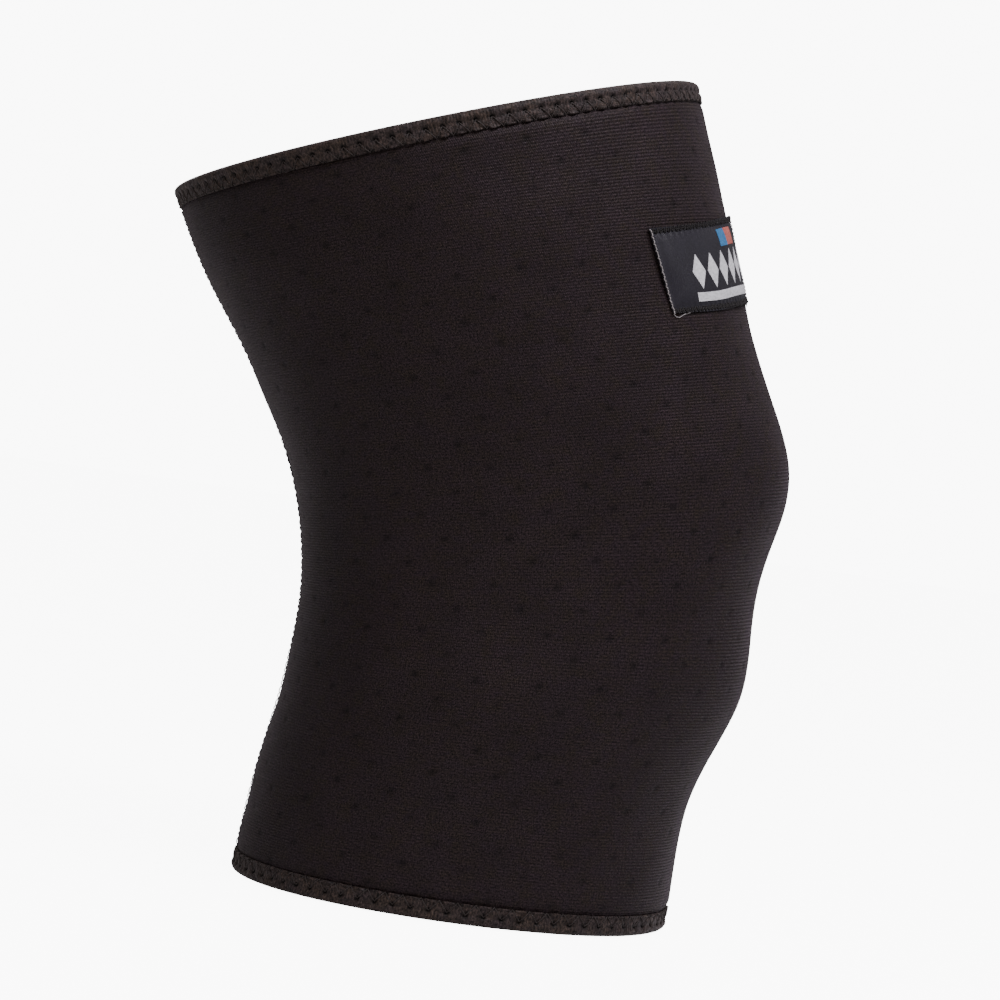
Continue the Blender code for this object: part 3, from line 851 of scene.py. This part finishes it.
def add_hem_thread(hem, side):
    """The zigzag on a binding's outside or inside: each leg rises from its hole and dips to the next."""
    count = STITCHES[hem]
    phase = np.arange(count * 2 * LEG_STEPS) / (2 * LEG_STEPS)
    distance = STITCH_LOW + (STITCH_HIGH - STITCH_LOW) * zigzag(phase)
    draw = np.random.default_rng(SLACK_SEEDS[hem])
    slack = np.repeat(draw.uniform(*LEG_SLACK, count * 2), LEG_STEPS) * MM
    height = leg_humps(len(phase), LEG_STEPS, LEG_ROUNDNESS) * (LEG_HUMP + slack) - LEG_SINK
    angle = stitch_angle(hem, phase / count)
    depth = -height if side == "needle" else BINDING_DEPTH + height
    where = course_from_hem(angle, distance, hem)
    mesh = tube(wall_point(angle, where, depth), outward(angle, where), THREAD, True)
    return make_joined(f"{hem}_binding_{side}_stitching", [mesh], BLACK_THREAD)


HEMS = ("calf", "thigh")
bindings = {hem: add_binding(hem) for hem in HEMS}
hem_threads = {(hem, side): add_hem_thread(hem, side) for hem in HEMS for side in ("needle", "bobbin")}

# ---- the back seam

SEAM_STITCH_PITCH = 4.0 * MM
SEAM_STITCH_WIDTH = 5.0 * MM
SEAM_END = BINDING_HEIGHT + 0.8 * MM
SEAM_LEG_STEPS = 8
SEAM_LEG_SINK = 0.10 * MM
SEAM_LEG_HUMP = 0.34 * MM

# The inner tape. Its back is given in the open, and how much less deep it lies under a binding.
SEAM_TAPE_WIDTH = 14.0 * MM
SEAM_TAPE_END = SHEET_EDGE + 1.2 * MM
SEAM_TAPE_GRID = (181, 25)
SEAM_TAPE_BACK = (4.02 * MM, 0.36 * MM)
SEAM_TAPE_CROWN = 0.45 * MM
SEAM_TAPE_EDGE = 0.06 * MM
SEAM_DENT = (0.10 * MM, 0.7 * MM)
INNER_STITCH_DEPTH = 4.45 * MM


def back_angle(course, aside):
    """The angle at a distance aside from the middle of the back."""
    half_girth = around(math.pi, course)
    return math.pi - aside / (half_girth / math.pi)


def back_ends(clear):
    """The courses at the middle of the back that lie a distance from each hem."""
    return [float(course_from_hem(math.pi, clear, hem)) for hem in HEMS]


def add_seam_thread(name, depth, lift):
    """A zigzag over the back seam, outside where lift is 1 and inside where it is -1."""
    low, high = back_ends(SEAM_END)
    length = float(UP_RUN[0, -1]) - 2 * BINDING_HEIGHT
    stitches = round(length / SEAM_STITCH_PITCH)
    phase = np.arange(stitches * 2 * SEAM_LEG_STEPS + 1) / (2 * SEAM_LEG_STEPS)
    course = low + (high - low) * phase / stitches
    angle = back_angle(course, (zigzag(phase) * 2 - 1) * SEAM_STITCH_WIDTH / 2)
    height = leg_humps(len(phase), SEAM_LEG_STEPS, LEG_ROUNDNESS) * SEAM_LEG_HUMP - SEAM_LEG_SINK
    points = wall_point(angle, course, depth - lift * height)
    return make_joined(name, [tube(points, outward(angle, course), THREAD, False)], BLACK_THREAD)


def add_seam_tape():
    """The tape over the back seam inside."""
    rows, columns = SEAM_TAPE_GRID
    course = np.linspace(*back_ends(SEAM_TAPE_END), rows)[:, None]
    aside = np.linspace(-1, 1, columns)[None, :] * SEAM_TAPE_WIDTH / 2
    course, aside = np.broadcast_arrays(course, aside)
    angle = back_angle(course, aside)
    squeeze = squeezed(angle, course)
    back = SEAM_TAPE_BACK[0] - SEAM_TAPE_BACK[1] * squeeze
    crown = (1 - (np.abs(aside) / (SEAM_TAPE_WIDTH / 2)) ** 8) * SEAM_TAPE_CROWN + SEAM_TAPE_EDGE
    dent = SEAM_DENT[0] * np.exp(-(((np.abs(aside) - SEAM_STITCH_WIDTH / 2) / SEAM_DENT[1]) ** 2))
    against_wall = wall_point(angle, course, back)
    inside = wall_point(angle, course, back + crown * (1 - 0.25 * squeeze) - dent)
    verts, groups = shell(against_wall, inside)
    flat = flat_marks(aside, height_up_sheet(angle, course))
    attributes = {"sheet": np.concatenate((flat, flat)), "hole_and_shade": np.zeros(len(verts))}
    return make_piece("back_seam_inner_tape", verts, groups, SEAM_TAPE, attributes)


seam_thread = add_seam_thread("back_seam_stitching", 0.0, 1.0)
seam_tape = add_seam_tape()
seam_bobbin = add_seam_thread("back_seam_inner_stitching", INNER_STITCH_DEPTH, -1.0)

# ---- the label

LABEL_ANGLE = math.radians(-25.0)
LABEL_COURSE = 5.757
LABEL_TURN = math.radians(4.4)
LABEL_WIDTH = 62.0 * MM
LABEL_HEIGHT = 26.0 * MM
LABEL_LIFT = 0.42 * MM
LABEL_CLOTH = 0.45 * MM
LABEL_STEP = 0.01

# The label is held down along a line of stitches, which ripples it. Its middle is a pillow, its edge
# curls up, and its long edges bow. Each relief is a height and a width or run.
HELD_LINE = 1.5 * MM
HELD = (0.18 * MM, 1.3 * MM)
PILLOW = (0.45 * MM, 7 * MM)
CURL = (0.22 * MM, 0.7 * MM)
RIPPLE = (0.10 * MM, 1.6 * MM)
RIPPLE_PITCH = 2.6 * MM
LABEL_WAVES = 0.14 * MM
BOW = 0.25 * MM
BOW_TURNS = 9.0
PATCH_RISE = 0.10 * MM


# Lengths on the sleeve for one radian round and for one course up, at the label's centre
LABEL_AREA = outer_surface(
    LABEL_ANGLE + LABEL_STEP * np.array((0, 1, 0)), LABEL_COURSE + LABEL_STEP * np.array((0, 0, 1))
)
PER_TURN, PER_COURSE = np.linalg.norm(LABEL_AREA[1:] - LABEL_AREA[0], axis=1) / LABEL_STEP


def label_lift(across, up):
    """How far the label's middle layer stands off the sleeve: it's held down along its stitches."""
    from_end = LABEL_WIDTH / 2 - np.abs(across)
    from_edge = LABEL_HEIGHT / 2 - np.abs(up)
    near = np.minimum(from_end, from_edge)
    held = HELD[0] * np.exp(-(((near - HELD_LINE) / HELD[1]) ** 2))
    pillow = PILLOW[0] * eased(near / PILLOW[1])
    curl = CURL[0] * np.exp(-((near / CURL[1]) ** 2))
    near_stitches = np.exp(-(((from_edge - HELD_LINE) / RIPPLE[1]) ** 2))
    ripples = RIPPLE[0] * np.sin(2 * math.pi * across / RIPPLE_PITCH) * near_stitches
    waves = LABEL_WAVES * steady_noise(across, up, 77, 22 * MM)
    return LABEL_LIFT + pillow + curl + ripples + waves - held


def label_spot(across, up):
    """The angle and course of a point of the label, given from its centre."""
    ahead = across * math.cos(LABEL_TURN) - up * math.sin(LABEL_TURN)
    rise = across * math.sin(LABEL_TURN) + up * math.cos(LABEL_TURN)
    return LABEL_ANGLE + ahead / PER_TURN, LABEL_COURSE + rise / PER_COURSE


def label_point(across, up, above):
    """A point on the label, or above it, from its centre."""
    angle, course = label_spot(across, up)
    return wall_point(angle, course, -(label_lift(across, up) + above))


def cloth(across, up, top_height, under_height, shrink=(1.0, 1.0)):
    """A sheet of the label's cloth as points, faces and marks. Its underside may be a little smaller."""
    bowed = up + BOW * np.sin(across / LABEL_WIDTH * BOW_TURNS)
    top = label_point(across, bowed, top_height)
    under = label_point(across * shrink[0], bowed * shrink[1], under_height)
    verts, groups = shell(top, under)
    marks = flat_marks(across, up)
    return verts, groups, np.concatenate((marks, marks))


def add_label():
    columns, rows = (125, 53)
    across = np.linspace(-1, 1, columns)[None, :] * LABEL_WIDTH / 2
    up = np.linspace(-1, 1, rows)[:, None] * LABEL_HEIGHT / 2
    across, up = np.broadcast_arrays(across, up)
    sheet = cloth(across, up, LABEL_CLOTH / 2, -LABEL_CLOTH / 2, (0.998, 0.995))
    return make_joined("front_label_satin", [sheet], SATIN)


def patch(outline_across, outline_up, columns, rows):
    """A raised woven patch between four corners, given in millimetres, as points, faces and marks."""
    s = np.linspace(0, 1, columns)[None, :, None]
    t = np.linspace(0, 1, rows)[:, None, None]
    corners = [np.array((a, b)) * MM for a, b in zip(outline_across, outline_up, strict=True)]
    low, high = corners[0] * (1 - s) + corners[1] * s, corners[3] * (1 - s) + corners[2] * s
    flat = low * (1 - t) + high * t
    return cloth(flat[..., 0], flat[..., 1], LABEL_CLOTH / 2 + PATCH_RISE, LABEL_CLOTH / 2 - PATCH_RISE)


# The motif, in millimetres from the label's centre. A diamond's size is its half width and height.
DIAMONDS = 6
FIRST_DIAMOND = -15.6
DIAMOND_SPACING = 7.6
DIAMOND_ROW = -1.0
DIAMOND_SIZE = (3.2, 5.2)
BAR_ENDS = (-19.0, 25.5)
BAR_EDGES = (-9.9, -7.2)
TAB_EDGES = (5.2, 10.2)


def rectangle(ends, edges, columns, rows):
    (left, right), (low, high) = ends, edges
    return patch((left, right, right, left), (low, low, high, high), columns, rows)


def add_motif():
    """A plain woven band: a row of diamonds over a bar."""
    wide, tall = DIAMOND_SIZE
    parts = []
    for k in range(DIAMONDS):
        middle = FIRST_DIAMOND + k * DIAMOND_SPACING
        outline_up = (DIAMOND_ROW, DIAMOND_ROW - tall, DIAMOND_ROW, DIAMOND_ROW + tall)
        parts.append(patch((middle - wide, middle, middle + wide, middle), outline_up, 9, 9))
    parts.append(rectangle(BAR_ENDS, BAR_EDGES, 60, 5))
    return make_joined("front_label_motif", parts, WHITE_WEAVE)


def add_tab(name, ends, material):
    """A small plain coloured patch near the label's top edge."""
    return make_joined(name, [rectangle(ends, TAB_EDGES, 9, 7)], material)


# The label's stitches, as pitch, swing and steps in a leg. The pale end thread hooks back under the
# lower corners, through points in millimetres inward of the end and below the edge.
LABEL_LEG_SINK = 0.12 * MM
LABEL_LEG_HUMP = 0.34 * MM
BAND_INSETS = (0.55 * MM, 1.1 * MM)
BAND_END = 0.6 * MM
BAND_STITCH = (1.7 * MM, 1.15 * MM, 5)
BAND_THREAD = 0.2 * MM
END_STITCH = (2.2 * MM, 0.35 * MM, 5)
END_THREAD = 0.17 * MM
HOOK = ((0.3, 0.1), (0.9, 1.0), (2.2, 1.3), (4.2, 0.5), (7.0, 0.1))
HOOK_SINK = 0.25 * MM
HOOK_THREAD = 0.13 * MM
BOBBIN_INSET = 1.1 * MM
BOBBIN_STITCH = (3.0 * MM, 1.2 * MM, 6)
BOBBIN_LIFT = 0.15 * MM


def zigzag_line(start, end, pitch, swing, steps):
    """A zigzag of lockstitches along a line of the label, as across, up and a height over the cloth."""
    start, end = np.array(start), np.array(end)
    length = np.linalg.norm(end - start)
    stitches = max(2, round(length / pitch))
    phase = np.arange(stitches * 2 * steps + 1) / (2 * steps)
    aside = zigzag(phase) * 2 - 1
    ahead = (end - start) / length
    left = np.array((-ahead[1], ahead[0]))
    flat = start + (end - start) * (phase / stitches)[:, None] + left * (aside * swing / 2)[:, None]
    return flat, leg_humps(len(phase), steps, 0.7) * LABEL_LEG_HUMP - LABEL_LEG_SINK


def label_tube(flat, height, radius):
    across, up = flat[:, 0], flat[:, 1]
    points = label_point(across, up, LABEL_CLOTH / 2 + height)
    ups = label_point(across, up, height + 1.0 * MM) - label_point(across, up, height)
    return tube(points, ups, radius, False)


def add_label_threads():
    """Black bands of stitches along the label's long edges, and a pale overlock thread at its ends."""
    w, h = LABEL_WIDTH / 2, LABEL_HEIGHT / 2
    parts = []
    for side in (1, -1):
        for inset in BAND_INSETS:
            up, end = side * (h - inset), w - BAND_END
            flat, height = zigzag_line((-end, up), (end, up), *BAND_STITCH)
            parts.append(label_tube(flat, height, BAND_THREAD))
    black = make_joined("front_label_stitching", parts, LABEL_THREAD)
    parts = []
    for side in (1, -1):
        across = side * (w - 0.25 * MM)
        flat, height = zigzag_line((across, h - 0.2 * MM), (across, -h - 0.2 * MM), *END_STITCH)
        parts.append(label_tube(flat, height + 0.05 * MM, END_THREAD))
        hook = np.array([(side * (w - inward * MM), -h - drop * MM) for inward, drop in HOOK])
        steps = np.linspace(0, 1, 25)
        knots = np.linspace(0, 1, len(hook))
        flat = np.stack([np.interp(steps, knots, hook[:, k]) for k in range(2)], axis=1)
        parts.append(label_tube(flat, np.full(len(flat), -HOOK_SINK), HOOK_THREAD))
    return black, make_joined("front_label_end_stitching", parts, PALE_THREAD)


def add_label_bobbin():
    """The other side of the label's stitches, on the lining."""
    w, h = LABEL_WIDTH / 2 - BOBBIN_INSET, LABEL_HEIGHT / 2 - BOBBIN_INSET
    corners = [(-w, -h), (w, -h), (w, h), (-w, h)]
    parts = []
    for start, end in zip(corners, corners[1:] + corners[:1], strict=True):
        flat, height = zigzag_line(start, end, *BOBBIN_STITCH)
        angle, course = label_spot(flat[:, 0], flat[:, 1])
        points = wall_point(angle, course, WALL + BOBBIN_LIFT + height)
        parts.append(tube(points, outward(angle, course), THREAD, False))
    return make_joined("front_label_inner_stitching", parts, BLACK_THREAD)


label = add_label()
motif = add_motif()
tabs = [
    add_tab("front_label_blue_tab", (1.0, 7.4), BLUE_WEAVE),
    add_tab("front_label_coral_tab", (7.4, 16.0), CORAL_WEAVE),
]
label_black, label_pale = add_label_threads()
label_bobbin = add_label_bobbin()

# ---- what each piece stands for


def settle(piece, slot, *nodes):
    """Put a piece in place of CAD nodes, hiding those nodes, and bake its transform."""
    if nodes:
        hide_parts(*nodes)
    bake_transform(piece)


for piece, slot, node in (
    (face, "face_jersey", "face_jersey"),
    (core, "neoprene", "neoprene_core"),
    (lining, "lining_jersey", "lining_jersey"),
    (seam_thread, "sewing_thread", "back_seam_thread"),
    (seam_tape, "seam_tape", "back_seam_tape"),
):
    settle(piece, slot, *[f"{part}_{node}" for part in ("calf", "knee", "thigh")])
settle(seam_bobbin, "sewing_thread")
for hem, piece in bindings.items():
    settle(piece, "binding_tape", f"{hem}_binding")
for (hem, side), piece in hem_threads.items():
    settle(piece, "sewing_thread", f"{hem}_binding_{side}_thread")
settle(label, "label_satin", "front_label")
settle(motif, "label_satin")
for tab in tabs:
    settle(tab, "label_satin")
settle(label_black, "sewing_thread", "label_needle_thread")
settle(label_pale, "sewing_thread")
settle(label_bobbin, "sewing_thread", "label_bobbin_thread")

# ---- studio

FLOOR_SIZE = 8.0
FLOOR_GAP = 0.4 * MM

# How bright the floor and the backdrop look, and how much light the backdrop gives
SEEN_FLOOR = 9.0
SEEN_BACKDROP = 9.5
SKY_STRENGTH = 0.22


def floor_material():
    """Pale matt floor that the camera sees lit up, like a light table under the sleeve."""
    m = Nodes("floor", (0.8, 0.8, 0.8), 0.9, Specular_IOR_Level=0.1)
    grain = m.noise(m.tree.nodes.new("ShaderNodeTexCoord").outputs["Object"], 40.0, 3.0)
    m.link(m.ramp(grain, 0.3, 0.7, 0.85, 0.95), m.shader.inputs["Roughness"])
    glow = m.tree.nodes.new("ShaderNodeLightPath").outputs["Is Camera Ray"]
    m.shader.inputs["Emission Color"].default_value = (1.0, 1.0, 1.0, 1.0)
    m.link(m.times(glow, SEEN_FLOOR), m.shader.inputs["Emission Strength"])
    return m.material


def add_floor():
    mesh = bpy.data.meshes.new("floor")
    half = FLOOR_SIZE / 2
    corners = [(-half, -half, 0), (half, -half, 0), (half, half, 0), (-half, half, 0)]
    mesh.from_pydata(corners, [], [(0, 1, 2, 3)])
    mesh.materials.append(floor_material())
    floor = add_object("floor", mesh)
    floor.location = (0.0, 0.0, cad_box[0][2] - FLOOR_GAP)


def face_aim(thing, place, right=None):
    """Put an object at a place, facing the aim."""
    away = unit(place - AIM)
    if right is None:
        right = unit(np.cross((0.0, 0.0, 1.0), away))
    axes = np.stack((right, np.cross(away, right), away, place), axis=1)
    thing.matrix_world = Matrix((*axes.tolist(), (0.0, 0.0, 0.0, 1.0)))


def add_area_light(name, place, size, power, colour):
    """A soft light that faces the middle of the picture."""
    lamp = bpy.data.lights.new(name, "AREA")
    lamp.shape = "RECTANGLE"
    lamp.size, lamp.size_y = size
    lamp.energy = power
    lamp.color = colour
    face_aim(add_object(name, lamp), place)


def add_world():
    world = bpy.data.worlds.new("studio")
    world.use_nodes = True
    background = world.node_tree.nodes["Background"]
    background.inputs["Color"].default_value = (1.0, 1.0, 1.0, 1.0)
    path = world.node_tree.nodes.new("ShaderNodeLightPath")
    seen = world.node_tree.nodes.new("ShaderNodeMapRange")
    seen.inputs["To Min"].default_value = SKY_STRENGTH
    seen.inputs["To Max"].default_value = SEEN_BACKDROP
    world.node_tree.links.new(path.outputs["Is Camera Ray"], seen.inputs["Value"])
    world.node_tree.links.new(seen.outputs["Result"], background.inputs["Strength"])
    bpy.context.scene.world = world


# The sleeve is seen from -Y, level with the kneecap, and turned to lean 8 degrees
ROLL = math.radians(8.0)
CAMERA_RIGHT = np.array((math.cos(ROLL), 0.0, math.sin(ROLL)))
CAMERA_UP = np.array((-math.sin(ROLL), 0.0, math.cos(ROLL)))
AIM = np.array((0.0124, 0.0, 0.1201))
DISTANCE = 1.14
EYE_ABOVE_AIM = 0.025
VIEW_WIDTH = 0.300
SENSOR = 36.0

# Each light's place right of, above and beyond the aim, its size, its power and its colour
LIGHTS = {
    "key": ((0.44, 1.06, -0.60), (0.40, 0.40), 10.9, (0.98, 0.93, 1.0)),
    "glint": ((0.36, 0.50, -0.18), (0.10, 0.10), 1.75, (0.95, 0.93, 1.0)),
    "fill": ((-0.38, 0.10, -1.0), (0.9, 0.7), 2.2, (1.0, 0.87, 0.72)),
    "far_side": ((0.1, 1.25, 0.95), (0.9, 0.9), 3.5, (1.0, 0.96, 0.96)),
    "rim_right": ((0.75, 1.10, 0.30), (0.25, 0.6), 0.6, (1.0, 0.93, 1.0)),
}


def add_camera():
    place = AIM + CAMERA_UP * EYE_ABOVE_AIM - np.array((0.0, DISTANCE, 0.0))
    data = bpy.data.cameras.new("camera")
    data.sensor_width = SENSOR
    data.lens = SENSOR * float(np.linalg.norm(place - AIM)) / VIEW_WIDTH
    data.clip_start = 0.01
    camera = add_object("camera", data)
    face_aim(camera, place, CAMERA_RIGHT)
    bpy.context.scene.camera = camera


def from_aim(right, up, ahead):
    return AIM + CAMERA_RIGHT * right + CAMERA_UP * up + np.array((0.0, ahead, 0.0))


add_floor()
add_world()
for name, (place, size, power, colour) in LIGHTS.items():
    add_area_light(name, from_aim(*place), size, power, colour)
add_camera()

bpy.context.view_layer.update()
